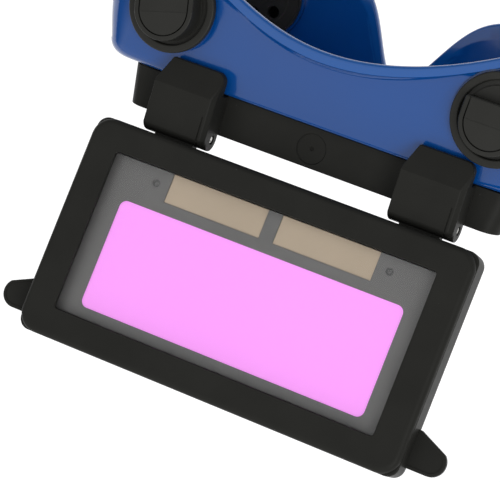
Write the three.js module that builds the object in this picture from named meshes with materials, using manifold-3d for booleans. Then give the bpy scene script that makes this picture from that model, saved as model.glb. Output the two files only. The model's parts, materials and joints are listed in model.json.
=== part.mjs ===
// Lift-front welding goggles: a soft shell worn on the face, a fixed clear lens in a front
// retainer, and a hinged front that carries an auto-darkening filter and lifts up.
// Millimetres. +X to the wearer's left, +Y towards the wearer, +Z up. The origin is on the
// face seal, level with the middle of the lens, where the wearer's forehead meets the shell.

import * as THREE from 'three';
import { ParametricGeometry } from 'three/addons/geometries/ParametricGeometry.js';
import { mergeVertices } from 'three/addons/utils/BufferGeometryUtils.js';
import Module from 'manifold-3d';

const wasm = await Module();
wasm.setup();

// Shared clearances
const GAP = 0.3;
const BORE_GAP = 0.3;
const ROUND_STEPS = 24;

// Front retainer and clear lens
const RETAINER = { width: 118, height: 67, radius: 5, front: -34, back: -22, flare: 1.8 };
const LENS = { width: 108.4, height: 51.4, radius: 2, thickness: 2 };
const LENS_WINDOW = { width: 101, height: 47, radius: 2 };
const RETAINER_LIP = 3;
const LENS_POCKET = { width: 109, height: 52, radius: 2.3 };

// Shell
const WALL = 2.2;
const SHELL_FRONT = -21.7;
const SHOULDER = { halfWidth: 71.4, halfHeight: 36.5, radius: 9 };
const BEND = { top: 2.5, side: 5, from: 40, to: 70 };
const RIM = { halfWidth: 80, top: 38.5, bottom: 36.5, radius: 24 };
const CROWN = { rise: 6.5, spread: 32 };
const TEMPLE_DEPTH = 40;
const TEMPLE_SPAN = 85;
const CHEEK = { middle: 15, side: 36, span: 80 };
const NOSE = { depth: 26, width: 13, rise: 6.5, spread: 14 };
const SIDE_BULGE = { out: 2.9, up: 1.25 };
const LOOP_STEPS = { side: 3, corner: 4, flat: 9 };

// Vents
const VENT = { hole: 11.7, flange: 13.4, boss: 13.2, bossDepth: 5.5, room: 14, sleeve: 1.5 };
const VENT_CLEARANCE = 8;
const UPPER_VENTS = { up: 1, x: 50.8, y: -2, seat: 39 };
const LOWER_VENTS = { up: -1, x: 50.8, y: 1.4, seat: 38 };
const VENT_TWIST = { upper_left: 15.6 };
const HOOD = { radius: 9.1, forward: -0.8, wall: 1.3, top: 8, rear: 4.6 };

// Hinge
const PIN = { y: -35.3, z: 37.3, radius: 1.25, length: 19 };
const BRACKET = { width: 19.6, cheek: 3.3, top: 44, rear: -15.5, nose: 3.5, foot: -22.2 };
const HINGE_X = { left: -38.3, right: 39.7 };
const BRACKET_RAMP = { start: -23.2, drop: 3.8, lip: 2, chamferX: -7.6, corner: 2.8 };
const REST_LIFT = 105;

// Lift front, measured from the hinge pin with the front closed
const FRONT = { width: 120.5, height: 66, radius: 6, top: -4.55, face: -10.6, back: 0.5 };
const FRONT_WINDOW = { width: 101.2, height: 48.4, radius: 1 };
const FRONT_WALL = 2;
const BEZEL_LIP = 1.6;
const FILTER = { width: 108.6, height: 51.8, front: -7.6, back: -2.4 };
const COVER_THICKNESS = 0.8;
const VIEW = { width: 90, height: 33, z: -41.95 };
const KNUCKLE = { radius: 3.3, width: 12.4 };
const FLANGE = { front: -8.1, overhang: 0, radius: 3.5 };
const TAB = { root: 58, tip: 66.5, z: -62.2, radius: 4.3, shoulder: 61, rise: 7, front: -2.3 };
const CELL = { width: 30.6, height: 8.6, thickness: 0.6, x: 17.5 };
const SENSOR = { x: 37, z: -17.75, radius: 1.2 };
const COIN = { x: 28, radius: 4, thickness: 1.3 };

// Headband
const STUD = { y: 20, boss: 7, root: 75.8, hole: 77.4, face: 84, shaft: 2, head: 4.6, headDepth: 1.8 };
const STRAP = { width: 25, thickness: 1.6, x: 86, turn: 120, back: 205 };
const CLIP = { face: 84.3, thickness: 3, slot: 39.5, bar: 45.3, end: 49, halfHeight: 17, eye: 8.6 };
const CLIP_SLOT_HALF = 13.3;
const SLIDER = { y: 85, half: 8, wall: 2.9, margin: 3, slot: 2.2 };

// Finishes
const plastic = (color, roughness) => new THREE.MeshStandardMaterial({ color, roughness, metalness: 0 });
const FINISH = {
  shell: plastic(0x0c3f96, 0.22),
  black: plastic(0x262624, 0.5),
  darkTrim: plastic(0x1c1c1b, 0.6),
  clear: plastic(0xe8eef0, 0.08),
  greyGlass: plastic(0x6c6c6a, 0.15),
  lilac: plastic(0xfda5fd, 0.2),
  cell: plastic(0xaa9c8a, 0.4),
  sensor: plastic(0x4c4c4c, 0.3),
  board: plastic(0x1f5a35, 0.6),
  steel: new THREE.MeshStandardMaterial({ color: 0xb8b8b8, roughness: 0.3, metalness: 1 }),
  elastic: plastic(0x1a1a1c, 0.9),
};

// ---------- helpers ----------

function solid(geometry) {
  const bare = geometry.clone();
  bare.deleteAttribute('normal');
  bare.deleteAttribute('uv');
  const merged = mergeVertices(bare, 1e-4);
  const vertProperties = new Float32Array(merged.attributes.position.array);
  const triVerts = new Uint32Array(merged.index.array);
  return new wasm.Manifold(new wasm.Mesh({ numProp: 3, vertProperties, triVerts }));
}

function geometryOf(manifold) {
  const mesh = manifold.getMesh();
  const geometry = new THREE.BufferGeometry();
  geometry.setAttribute('position', new THREE.BufferAttribute(new Float32Array(mesh.vertProperties), 3));
  geometry.setIndex(new THREE.BufferAttribute(new Uint32Array(mesh.triVerts), 1));
  return geometry;
}

// Two distances from the middle plane, in rising X order, on the given side
function span(side, near, far) {
  return [side * near, side * far].sort((a, b) => a - b);
}

function join(...parts) {
  return parts.reduce((whole, part) => whole.add(part));
}

function box(low, high) {
  const size = high.map((value, i) => value - low[i]);
  const middle = high.map((value, i) => (value + low[i]) / 2);
  return solid(new THREE.BoxGeometry(...size).translate(...middle));
}

function rodX(radius, x0, x1, y, z, steps = ROUND_STEPS) {
  const rod = new THREE.CylinderGeometry(radius, radius, x1 - x0, steps).rotateZ(Math.PI / 2);
  return solid(rod.translate((x0 + x1) / 2, y, z));
}

function rodY(radius, y0, y1, x, z, steps = 20) {
  return solid(new THREE.CylinderGeometry(radius, radius, y1 - y0, steps).translate(x, (y0 + y1) / 2, z));
}

function rodZ(radius, z0, z1, x, y, steps = ROUND_STEPS) {
  const rod = new THREE.CylinderGeometry(radius, radius, z1 - z0, steps).rotateX(Math.PI / 2);
  return solid(rod.translate(x, y, (z0 + z1) / 2));
}

function roundedRect(target, width, height, radius, middleY = 0) {
  const a = width / 2;
  const b = height / 2;
  target.moveTo(a - radius, middleY - b);
  target.absarc(a - radius, middleY - b + radius, radius, -Math.PI / 2, 0, false);
  target.absarc(a - radius, middleY + b - radius, radius, 0, Math.PI / 2, false);
  target.absarc(-a + radius, middleY + b - radius, radius, Math.PI / 2, Math.PI, false);
  target.absarc(-a + radius, middleY - b + radius, radius, Math.PI, 1.5 * Math.PI, false);
  target.closePath();
  return target;
}

// A flat outline in X and Z, thickened along Y
function slabY(shape, y0, y1, curveSegments = 2) {
  const slab = new THREE.ExtrudeGeometry(shape, { depth: y1 - y0, bevelEnabled: false, curveSegments });
  return solid(slab.rotateX(Math.PI / 2).translate(0, y1, 0));
}

// A flat outline in X and Y, thickened along Z
function slabZ(shape, z0, z1, curveSegments = 5) {
  const slab = new THREE.ExtrudeGeometry(shape, { depth: z1 - z0, bevelEnabled: false, curveSegments });
  return solid(slab.translate(0, 0, z0));
}

// A side outline in Y and Z, thickened along X
function slabX(shape, x0, x1, curveSegments = 5) {
  const slab = new THREE.ExtrudeGeometry(shape, { depth: x1 - x0, bevelEnabled: false, curveSegments });
  return solid(slab.rotateZ(Math.PI / 2).rotateY(Math.PI / 2).translate(x0, 0, 0));
}

function panel(size, y0, y1, z = 0) {
  return slabY(roundedRect(new THREE.Shape(), size.width, size.height, size.radius ?? 0.8, z), y0, y1);
}

// A panel whose ends widen towards the back
function flared(size, y0, y1, flare) {
  const outline = roundedRect(new THREE.Shape(), size.width, size.height, size.radius);
  const slab = new THREE.ExtrudeGeometry(outline, { depth: y1 - y0, bevelEnabled: false, curveSegments: 3 });
  slab.rotateX(Math.PI / 2).translate(0, y1, 0);
  const { position } = slab.attributes;
  for (let i = 0; i < position.count; i += 1) {
    const back = (position.getY(i) - y0) / (y1 - y0);
    position.setX(i, position.getX(i) * (1 + back * 2 * flare / size.width));
  }
  return solid(slab);
}

function frameRing(outer, inner, y0, y1, z = 0) {
  return panel(outer, y0, y1, z).subtract(panel(inner, y0 - 1, y1 + 1, z));
}

function part(name, shape, material) {
  const mesh = new THREE.Mesh(shape.isBufferGeometry ? shape : geometryOf(shape), material);
  mesh.name = name;
  return mesh;
}

// ---------- shell ----------

// A point on a rounded rectangle: side, corner and flat stretches of each quarter share the steps
function loopPoint(u, halfWidth, top, bottom, radius) {
  const total = LOOP_STEPS.side + LOOP_STEPS.corner + LOOP_STEPS.flat;
  const step = u * 4 * total;
  const quarter = Math.floor(step / total) % 4;
  const within = step - total * Math.floor(step / total);
  const fromSide = quarter % 2 === 0 ? within : total - within;
  const height = quarter < 2 ? top : bottom;
  let x = halfWidth;
  let z = 0;
  if (fromSide <= LOOP_STEPS.side) {
    z = (height - radius) * fromSide / LOOP_STEPS.side;
  } else if (fromSide <= LOOP_STEPS.side + LOOP_STEPS.corner) {
    const angle = (fromSide - LOOP_STEPS.side) / LOOP_STEPS.corner * Math.PI / 2;
    x = halfWidth - radius + radius * Math.cos(angle);
    z = height - radius + radius * Math.sin(angle);
  } else {
    x = (halfWidth - radius) * (total - fromSide) / LOOP_STEPS.flat;
    z = height;
  }
  return { x: quarter === 1 || quarter === 2 ? -x : x, z: quarter < 2 ? z : -z };
}

function shoulderPoint(u, inset) {
  const { halfWidth, halfHeight, radius } = SHOULDER;
  return loopPoint(u, halfWidth - inset, halfHeight - inset, halfHeight - inset, radius - inset);
}

function windowPoint(u) {
  const { width, height, radius } = LENS_WINDOW;
  return loopPoint(u, width / 2, height / 2, height / 2, radius);
}

function rimPoint(u, inset) {
  const { halfWidth, top, bottom, radius } = RIM;
  const point = loopPoint(u, halfWidth - inset, top - inset, bottom - inset, radius - inset);
  const level = Math.min(1, Math.abs(point.z) / (top - radius / 2));
  if (point.z > 0) point.z += level * CROWN.rise * Math.exp(-((point.x / CROWN.spread) ** 2));
  else point.z += level * NOSE.rise * Math.exp(-((point.x / NOSE.spread) ** 2));
  return point;
}

// How far back the rim lies: forehead above, cheeks and the nose notch below
function rimDepth(u) {
  const { x, z } = rimPoint(u, 0);
  const forehead = TEMPLE_DEPTH * (1 - Math.cos(Math.PI / 2 * Math.abs(x) / TEMPLE_SPAN));
  const cheek = CHEEK.middle + (CHEEK.side - CHEEK.middle) * (x / CHEEK.span) ** 2;
  const notch = NOSE.depth * Math.exp(-((x / NOSE.width) ** 2));
  const low = THREE.MathUtils.smoothstep(-z, -8, 24);
  return THREE.MathUtils.lerp(forehead, cheek - notch, low);
}

// The bend from the front face into the side wall is tight above and below, and wide at the temples
function bendRadius(u) {
  const { x } = shoulderPoint(u, 0);
  const share = THREE.MathUtils.smoothstep(Math.abs(x), BEND.from, BEND.to);
  return THREE.MathUtils.lerp(BEND.top, BEND.side, share);
}

// A point on the side wall, from the shoulder (along = 0) to the rim (along = 1)
function sidePoint(u, along, inset) {
  const near = shoulderPoint(u, inset);
  const far = rimPoint(u, inset);
  const out = 1 - (1 - along) ** SIDE_BULGE.out;
  const up = 1 - (1 - along) ** SIDE_BULGE.up;
  return {
    x: THREE.MathUtils.lerp(near.x, far.x, out),
    y: THREE.MathUtils.lerp(SHELL_FRONT + bendRadius(u), rimDepth(u), along),
    z: THREE.MathUtils.lerp(near.z, far.z, up),
  };
}

function bendPoint(u, angle, inset) {
  const radius = bendRadius(u) - inset;
  const point = shoulderPoint(u, inset + radius * (1 - Math.sin(angle)));
  return { ...point, y: SHELL_FRONT + bendRadius(u) - radius * Math.cos(angle) };
}

function beadPoint(u, outward, back) {
  return { ...rimPoint(u, -outward), y: rimDepth(u) + back };
}

// The wall's section as a closed run of point makers: out, back along the wall, round the
// rolled rim, and forward again along the inside
function shellSection() {
  const bendAngles = [0, 45, 90].map(THREE.MathUtils.degToRad);
  const stretch = [0.2, 0.45, 0.75, 1];
  const beadStart = 3.4;
  const bead = [[1.4, -2.2], [1.7, -0.2], [0, 0.8], [-1.8, -0.2]];
  const wallEnd = (u) => 1 - beadStart / (rimDepth(u) - SHELL_FRONT - bendRadius(u));
  return [
    (u) => ({ ...windowPoint(u), y: SHELL_FRONT }),
    ...bendAngles.map((angle) => (u) => bendPoint(u, angle, 0)),
    ...stretch.map((share) => (u) => sidePoint(u, share * wallEnd(u), 0)),
    ...bead.map(([outward, back]) => (u) => beadPoint(u, outward, back)),
    ...[...stretch].reverse().map((share) => (u) => sidePoint(u, share * wallEnd(u), WALL)),
    ...[...bendAngles].reverse().map((angle) => (u) => bendPoint(u, angle, WALL)),
    (u) => ({ ...windowPoint(u), y: SHELL_FRONT + WALL }),
  ];
}

// An upright disc between two heights, given from the wearer's eye outwards
function ventDisc(radius, row, side, near, far) {
  const [low, high] = [near, far].map((z) => z * row.up).sort((a, b) => a - b);
  return rodZ(radius, low, high, side * row.x, row.y, 28);
}

function shell() {
  const section = shellSection();
  const around = 4 * (LOOP_STEPS.side + LOOP_STEPS.corner + LOOP_STEPS.flat);
  const place = (u, v, target) => {
    const { x, y, z } = section[Math.round(v * section.length) % section.length]((1 - u) % 1);
    target.set(x, y, z);
  };
  let body = solid(new ParametricGeometry(place, around, section.length));
  const collarFront = RETAINER.front + RETAINER_LIP + LENS.thickness + 2 * GAP;
  const collar = { width: LENS.width, height: LENS.height, radius: LENS.radius };
  body = body.add(frameRing(collar, LENS_WINDOW, collarFront, SHELL_FRONT + WALL / 2));
  for (const side of [-1, 1]) {
    for (const row of [UPPER_VENTS, LOWER_VENTS]) {
      const { seat } = row;
      const outside = seat + VENT_CLEARANCE;
      body = body.add(ventDisc(VENT.boss, row, side, seat - VENT.bossDepth, seat));
      body = body.subtract(ventDisc(VENT.room, row, side, seat, outside));
      body = body.subtract(ventDisc(VENT.hole, row, side, seat - 2 * VENT.bossDepth, outside));
    }
    body = body.add(rodX(STUD.boss, ...span(side, STUD.root, STUD.face), STUD.y, 0));
    body = body.subtract(rodX(STUD.shaft + BORE_GAP, ...span(side, STUD.hole, STUD.face + 1), STUD.y, 0, 20));
  }
  return part('goggle_shell', body, FINISH.shell);
}

// ---------- front retainer and clear lens ----------

function retainer() {
  const { front, back } = RETAINER;
  const body = flared(RETAINER, front, back, RETAINER.flare);
  const pocket = panel(LENS_POCKET, front + RETAINER_LIP, back + 1);
  const opening = panel(LENS_WINDOW, front - 1, back + 1);
  return part('front_retainer', body.subtract(pocket).subtract(opening), FINISH.black);
}

function clearLens() {
  const y0 = RETAINER.front + RETAINER_LIP + GAP;
  return part('clear_lens', panel(LENS, y0, y0 + LENS.thickness), FINISH.clear);
}

// ---------- vents ----------

function lathe(points, steps = 28) {
  const outline = points.map(([r, z]) => new THREE.Vector2(r, z));
  return solid(new THREE.LatheGeometry(outline, steps).rotateX(Math.PI / 2));
}

// The plug seen from inside the shell: a sleeve through the wall and a pierced inner flange
function ventBase() {
  const flange = { radius: 12.6, thickness: 1.6 };
  const holes = 5;
  const hole = { radius: 2, circle: 5.8 };
  const floor = -VENT.bossDepth - GAP;
  const under = floor - flange.thickness;
  const sleeve = VENT.hole - GAP;
  const bore = sleeve - VENT.sleeve;
  let base = lathe([[0, under], [flange.radius, under], [flange.radius, floor], [sleeve, floor],
    [sleeve, -GAP], [bore, -GAP], [bore, floor], [0, floor]]);
  for (let i = 0; i < holes; i += 1) {
    const angle = i * 2 * Math.PI / holes;
    const x = hole.circle * Math.cos(angle);
    const y = hole.circle * Math.sin(angle);
    base = base.subtract(rodZ(hole.radius, under - 1, floor + 1, x, y, 8));
  }
  return base;
}

// A hood outline: round in front, straight sides, cut off flat behind
function hoodOutline(radius, rear) {
  const outline = new THREE.Shape();
  outline.moveTo(radius, rear);
  outline.lineTo(-radius, rear);
  outline.lineTo(-radius, HOOD.forward);
  outline.absarc(0, HOOD.forward, radius, Math.PI, 2 * Math.PI, false);
  outline.closePath();
  return outline;
}

function ventCap() {
  const disc = 1.6;
  const rim = 2.2;
  const skirtDepth = 4.8;
  const spigot = VENT.hole - VENT.sleeve - 2 * GAP;
  const { radius, wall, top, rear } = HOOD;
  const inner = radius - wall;
  const { flange } = VENT;
  const plate = lathe([[0, GAP], [flange, GAP], [flange, rim - 0.7], [flange - 0.6, rim],
    [flange - 2.1, rim], [flange - 2.5, disc], [0, disc]]);
  const skirt = rodZ(spigot, -skirtDepth, 1, 0, 0, 28);
  const dome = slabZ(hoodOutline(radius, rear), 1, top);
  const hollow = slabZ(hoodOutline(inner, rear - 0.8), -6, top - wall);
  const mouth = slabZ(hoodOutline(inner, rear + 4), disc + 0.4, top - wall);
  return join(plate, skirt, dome).subtract(hollow).subtract(mouth);
}

function vents() {
  const group = new THREE.Group();
  for (const [level, row] of [['upper', UPPER_VENTS], ['lower', LOWER_VENTS]]) {
    for (const [hand, side] of [['left', -1], ['right', 1]]) {
      const corner = `${level}_${hand}`;
      const vent = new THREE.Group();
      vent.position.set(side * row.x, row.y, row.up * row.seat);
      if (row.up < 0) vent.rotation.y = Math.PI;
      const cap = part(`vent_cap_${corner}`, ventCap(), FINISH.darkTrim);
      cap.rotation.z = THREE.MathUtils.degToRad(VENT_TWIST[corner] ?? 0);
      vent.add(part(`vent_base_${corner}`, ventBase(), FINISH.darkTrim), cap);
      group.add(vent);
    }
  }
  return group;
}

// ---------- hinge ----------

function bracketProfile() {
  const { y, z } = PIN;
  const { top, rear, nose, foot } = BRACKET;
  const { start, drop, lip } = BRACKET_RAMP;
  const seat = RETAINER.height / 2 + GAP;
  const side = new THREE.Shape();
  side.moveTo(y, z - nose);
  side.absarc(y, z, nose, -Math.PI / 2, -Math.PI, true);
  side.quadraticCurveTo(y - nose + 0.4, top - 1.4, y - 0.4, top);
  side.lineTo(start, top);
  side.lineTo(rear, top - drop);
  side.lineTo(rear, top - drop - lip);
  side.lineTo(foot, top - drop - lip);
  side.lineTo(foot, seat);
  side.closePath();
  return side;
}

function bracketPlan() {
  const half = BRACKET.width / 2;
  const { rear, foot } = BRACKET;
  const { chamferX, corner } = BRACKET_RAMP;
  const front = PIN.y - 2 * BRACKET.nose;
  const plan = new THREE.Shape();
  plan.moveTo(-half, front);
  plan.lineTo(half, front);
  plan.lineTo(half, rear - corner);
  plan.absarc(half - corner, rear - corner, corner, 0, Math.PI / 2, false);
  plan.lineTo(chamferX, rear);
  plan.lineTo(-half, foot);
  plan.closePath();
  return plan;
}

function bracket(name, x) {
  const half = BRACKET.width / 2;
  const slot = half - BRACKET.cheek;
  const { y, z } = PIN;
  const knuckleRoom = KNUCKLE.radius + 0.8;
  const crown = 2.2;
  const body = slabX(bracketProfile(), -half, half)
    .intersect(slabZ(bracketPlan(), 0, BRACKET.top + 1))
    .subtract(box([-slot, y - 2 * knuckleRoom, 0], [slot, y + knuckleRoom, BRACKET.top - crown]))
    .subtract(rodX(PIN.radius + BORE_GAP, -half - 1, half + 1, y, z, 24));
  const mesh = part(name, body, FINISH.black);
  mesh.position.x = x;
  return mesh;
}

function hingePin(name, x) {
  const mesh = part(name, rodX(PIN.radius, -PIN.length / 2, PIN.length / 2, PIN.y, PIN.z, 24), FINISH.steel);
  mesh.position.x = x;
  return mesh;
}

// ---------- lift front, built closed, with the hinge pin on its own X axis ----------

const FRONT_MIDDLE = FRONT.top - FRONT.height / 2;
const CAVITY = { width: FILTER.width + 2 * GAP, height: FILTER.height + 2 * GAP, radius: 1 };

function bezel() {
  const back = FLANGE.front - GAP;
  const inside = {
    width: FRONT.width - 2 * FRONT_WALL,
    height: FRONT.height - 2 * FRONT_WALL,
    radius: FRONT.radius - FRONT_WALL,
  };
  const body = panel(FRONT, FRONT.face, back, FRONT_MIDDLE)
    .subtract(panel(inside, FRONT.face + BEZEL_LIP, back + 1, FRONT_MIDDLE))
    .subtract(panel(FRONT_WINDOW, FRONT.face - 1, back + 1, FRONT_MIDDLE));
  return part('lift_front_bezel', body, FINISH.black);
}

function liftTab(side) {
  const { root, tip, z, radius, shoulder, rise } = TAB;
  const tab = new THREE.Shape();
  tab.moveTo(side * root, z - radius);
  tab.lineTo(side * tip, z - radius);
  tab.absarc(side * tip, z, radius, -Math.PI / 2, side > 0 ? Math.PI / 4 : Math.PI * 3 / 4, side < 0);
  tab.lineTo(side * shoulder, z + rise);
  tab.lineTo(side * root, z + rise);
  tab.closePath();
  return slabY(tab, TAB.front, 0);
}

function knuckle(x) {
  const half = KNUCKLE.width / 2;
  const barrel = rodX(KNUCKLE.radius, x - half, x + half, 0, 0);
  const arm = box([x - half, -KNUCKLE.radius, FRONT.top - 1], [x + half, FRONT.back, -0.5]);
  return join(barrel, arm).subtract(rodX(PIN.radius + BORE_GAP, x - half - 1, x + half + 1, 0, 0, 24));
}

function backFrame() {
  const lip = 1.2;
  const flange = { width: FRONT.width + 2 * FLANGE.overhang, height: FRONT.height, radius: FLANGE.radius };
  const sleeve = { width: CAVITY.width + 3.4, height: CAVITY.height + 3.4, radius: 2 };
  let body = join(
    panel(flange, FLANGE.front, FRONT.back, FRONT_MIDDLE),
    panel(sleeve, FRONT.face + BEZEL_LIP + GAP, FLANGE.front + 0.1, FRONT_MIDDLE),
    liftTab(-1),
    liftTab(1),
  );
  body = body
    .subtract(panel(CAVITY, FRONT.face, FRONT.back - lip, FRONT_MIDDLE))
    .subtract(panel(FRONT_WINDOW, FRONT.face, FRONT.back + 1, FRONT_MIDDLE));
  body = join(body, knuckle(HINGE_X.left), knuckle(HINGE_X.right));
  return part('lift_front_back_frame', body, FINISH.black);
}

function coverLens(name, y0) {
  const size = { width: FILTER.width, height: FILTER.height };
  return part(name, panel(size, y0, y0 + COVER_THICKNESS, FRONT_MIDDLE), FINISH.clear);
}

// The auto-darkening cartridge: a tray with the glass, shutter, cells and electronics inside
function filterParts() {
  const wall = 1.5;
  const floor = 1.2;
  const shutterThickness = 2;
  const boardThickness = 0.8;
  const sensorDepth = 1.4;
  const boardEnd = COIN.x - COIN.radius - 2;
  const pocket = { width: FILTER.width - 2 * wall, height: FILTER.height - 2 * wall };
  const pane = { width: pocket.width - 2 * GAP, height: pocket.height - 2 * GAP };
  const glassBack = FILTER.front + 1.1;
  const inner = glassBack + GAP;
  const shutter = { width: VIEW.width + 2, height: VIEW.height + 2 };
  const board = { width: 2 * boardEnd, height: CELL.height - 2 * GAP };
  const cellTop = FRONT_MIDDLE + pane.height / 2;
  const cellZ = cellTop - CELL.height / 2;
  const behindCell = inner + CELL.thickness + GAP;
  const housing = panel(FILTER, FILTER.front, FILTER.back, FRONT_MIDDLE)
    .subtract(panel(pocket, FILTER.front - 1, FILTER.back - floor, FRONT_MIDDLE))
    .subtract(panel(VIEW, FILTER.front, FILTER.back + 1, VIEW.z));
  const parts = [
    part('filter_housing', housing, FINISH.greyGlass),
    part('filter_glass', panel(pane, FILTER.front, glassBack, FRONT_MIDDLE), FINISH.greyGlass),
    part('lcd_shutter', panel(shutter, inner, inner + shutterThickness, VIEW.z), FINISH.lilac),
    part('circuit_board', panel(board, behindCell, behindCell + boardThickness, cellZ), FINISH.board),
  ];
  for (const [name, side] of [['left', -1], ['right', 1]]) {
    const solar = part(`solar_cell_${name}`, panel(CELL, inner, inner + CELL.thickness, cellZ), FINISH.cell);
    solar.position.x = side * CELL.x;
    const sensor = rodY(SENSOR.radius, inner, inner + sensorDepth, side * SENSOR.x, SENSOR.z, 16);
    const coin = rodY(COIN.radius, behindCell, behindCell + COIN.thickness, side * COIN.x, cellZ, 28);
    parts.push(
      solar,
      part(`arc_sensor_${name}`, sensor, FINISH.sensor),
      part(`coin_cell_${name}`, coin, FINISH.steel),
    );
  }
  return parts;
}

function liftFront() {
  const group = new THREE.Group();
  group.position.set(0, PIN.y, PIN.z);
  group.rotation.x = -THREE.MathUtils.degToRad(REST_LIFT);
  group.add(
    bezel(),
    backFrame(),
    coverLens('outer_cover_lens', FRONT.face + BEZEL_LIP + GAP),
    coverLens('inner_cover_lens', FILTER.back + GAP),
    ...filterParts(),
  );
  return group;
}

// ---------- headband ----------

function strapStud(name, side) {
  const headFace = CLIP.face + CLIP.thickness + GAP;
  const head = rodX(STUD.head, ...span(side, headFace, headFace + STUD.headDepth), STUD.y, 0, 28);
  const shaft = rodX(STUD.shaft, ...span(side, STUD.hole + GAP, headFace + 0.4), STUD.y, 0, 20);
  return part(name, join(head, shaft), FINISH.black);
}

function strapClip(name, side) {
  const x0 = side > 0 ? CLIP.face : -CLIP.face - CLIP.thickness;
  const x1 = x0 + CLIP.thickness;
  const wide = CLIP.halfHeight;
  const head = CLIP.slot - 1.5;
  const outline = new THREE.Shape();
  outline.moveTo(CLIP.end, -wide);
  outline.lineTo(CLIP.end, wide);
  outline.lineTo(head, wide);
  outline.lineTo(STUD.y, CLIP.eye);
  outline.absarc(STUD.y, 0, CLIP.eye, Math.PI / 2, 1.5 * Math.PI, false);
  outline.lineTo(head, -wide);
  outline.closePath();
  const body = slabX(outline, x0, x1)
    .subtract(box([x0 - 1, CLIP.slot, -CLIP_SLOT_HALF], [x1 + 1, CLIP.bar, CLIP_SLOT_HALF]))
    .subtract(rodX(STUD.shaft + BORE_GAP, x0 - 1, x1 + 1, STUD.y, 0, 20));
  return part(name, body, FINISH.black);
}

// The strap in plan: a sewn loop round each clip's bar, straight sides, and round the head
function strap() {
  const t = STRAP.thickness;
  const half = STRAP.width / 2;
  const loop = { inner: CLIP.face - GAP, outer: CLIP.face + CLIP.thickness + GAP };
  const loopFront = CLIP.bar - GAP;
  const loopBack = CLIP.end + GAP;
  const headHalf = (offset) => ({ a: STRAP.x + offset, b: STRAP.back - STRAP.turn + offset });
  const outside = headHalf(t / 2);
  const inside = headHalf(-t / 2);
  const plan = new THREE.Shape();
  plan.moveTo(outside.a, STRAP.turn);
  plan.absellipse(0, STRAP.turn, outside.a, outside.b, 0, Math.PI, false);
  plan.lineTo(-outside.a, STRAP.turn);
  plan.lineTo(-outside.a, loopBack + 4);
  plan.lineTo(-inside.a, loopBack + 4);
  plan.lineTo(-inside.a, STRAP.turn);
  plan.absellipse(0, STRAP.turn, inside.a, inside.b, Math.PI, 0, true);
  plan.lineTo(inside.a, loopBack + 4);
  plan.lineTo(outside.a, loopBack + 4);
  plan.closePath();
  let band = slabZ(plan, -half, half, 20);
  for (const side of [-1, 1]) {
    const ring = new THREE.Shape();
    ring.moveTo(side * (loop.inner - t), loopFront - t);
    ring.lineTo(side * (loop.outer + t), loopFront - t);
    ring.lineTo(side * (loop.outer + t), loopBack + t);
    ring.lineTo(side * (STRAP.x + t / 2), loopBack + 5);
    ring.lineTo(side * (STRAP.x - t / 2), loopBack + 5);
    ring.lineTo(side * (loop.inner - t), loopBack + t);
    ring.closePath();
    const bar = [[side * loop.inner, loopFront], [side * loop.outer, loopBack]];
    const xs = bar.map(([x]) => x).sort((p, q) => p - q);
    band = band.add(slabZ(ring, -half, half));
    band = band.subtract(box([xs[0], loopFront, -half - 1], [xs[1], loopBack, half + 1]));
  }
  return part('headband_strap', band, FINISH.elastic);
}

function strapSlider() {
  const { y, half, wall, margin, slot } = SLIDER;
  const t = STRAP.thickness / 2 + GAP;
  const high = STRAP.width / 2 + 2 * GAP;
  const block = box([STRAP.x - wall, y - half, -high - margin], [STRAP.x + wall, y + half, high + margin]);
  let body = block.subtract(box([STRAP.x - t, y - half - 1, -high], [STRAP.x + t, y + half + 1, high]));
  for (const middle of [y - half / 2, y + half / 2]) {
    body = body.subtract(box([STRAP.x, middle - slot, -high], [STRAP.x + wall + 1, middle + slot, high]));
  }
  return part('strap_slider', body, FINISH.black);
}

// ---------- assembly ----------

const goggles = new THREE.Group();
goggles.add(
  shell(),
  retainer(),
  clearLens(),
  vents(),
  bracket('hinge_bracket_left', HINGE_X.left),
  bracket('hinge_bracket_right', HINGE_X.right),
  hingePin('hinge_pin_left', HINGE_X.left),
  hingePin('hinge_pin_right', HINGE_X.right),
  liftFront(),
  strapStud('strap_stud_left', -1),
  strapStud('strap_stud_right', 1),
  strapClip('strap_clip_left', -1),
  strapClip('strap_clip_right', 1),
  strap(),
  strapSlider(),
);

export default goggles;
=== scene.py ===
"""The looks of the lift-front welding goggles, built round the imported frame.

Meshes are made in millimetres and scaled to metres once each one is finished.
+X is the wearer's left, +Y is towards the wearer and +Z is up.
"""

import json
import math

import bmesh
import bpy
from mathutils import Matrix, Vector, kdtree


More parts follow.
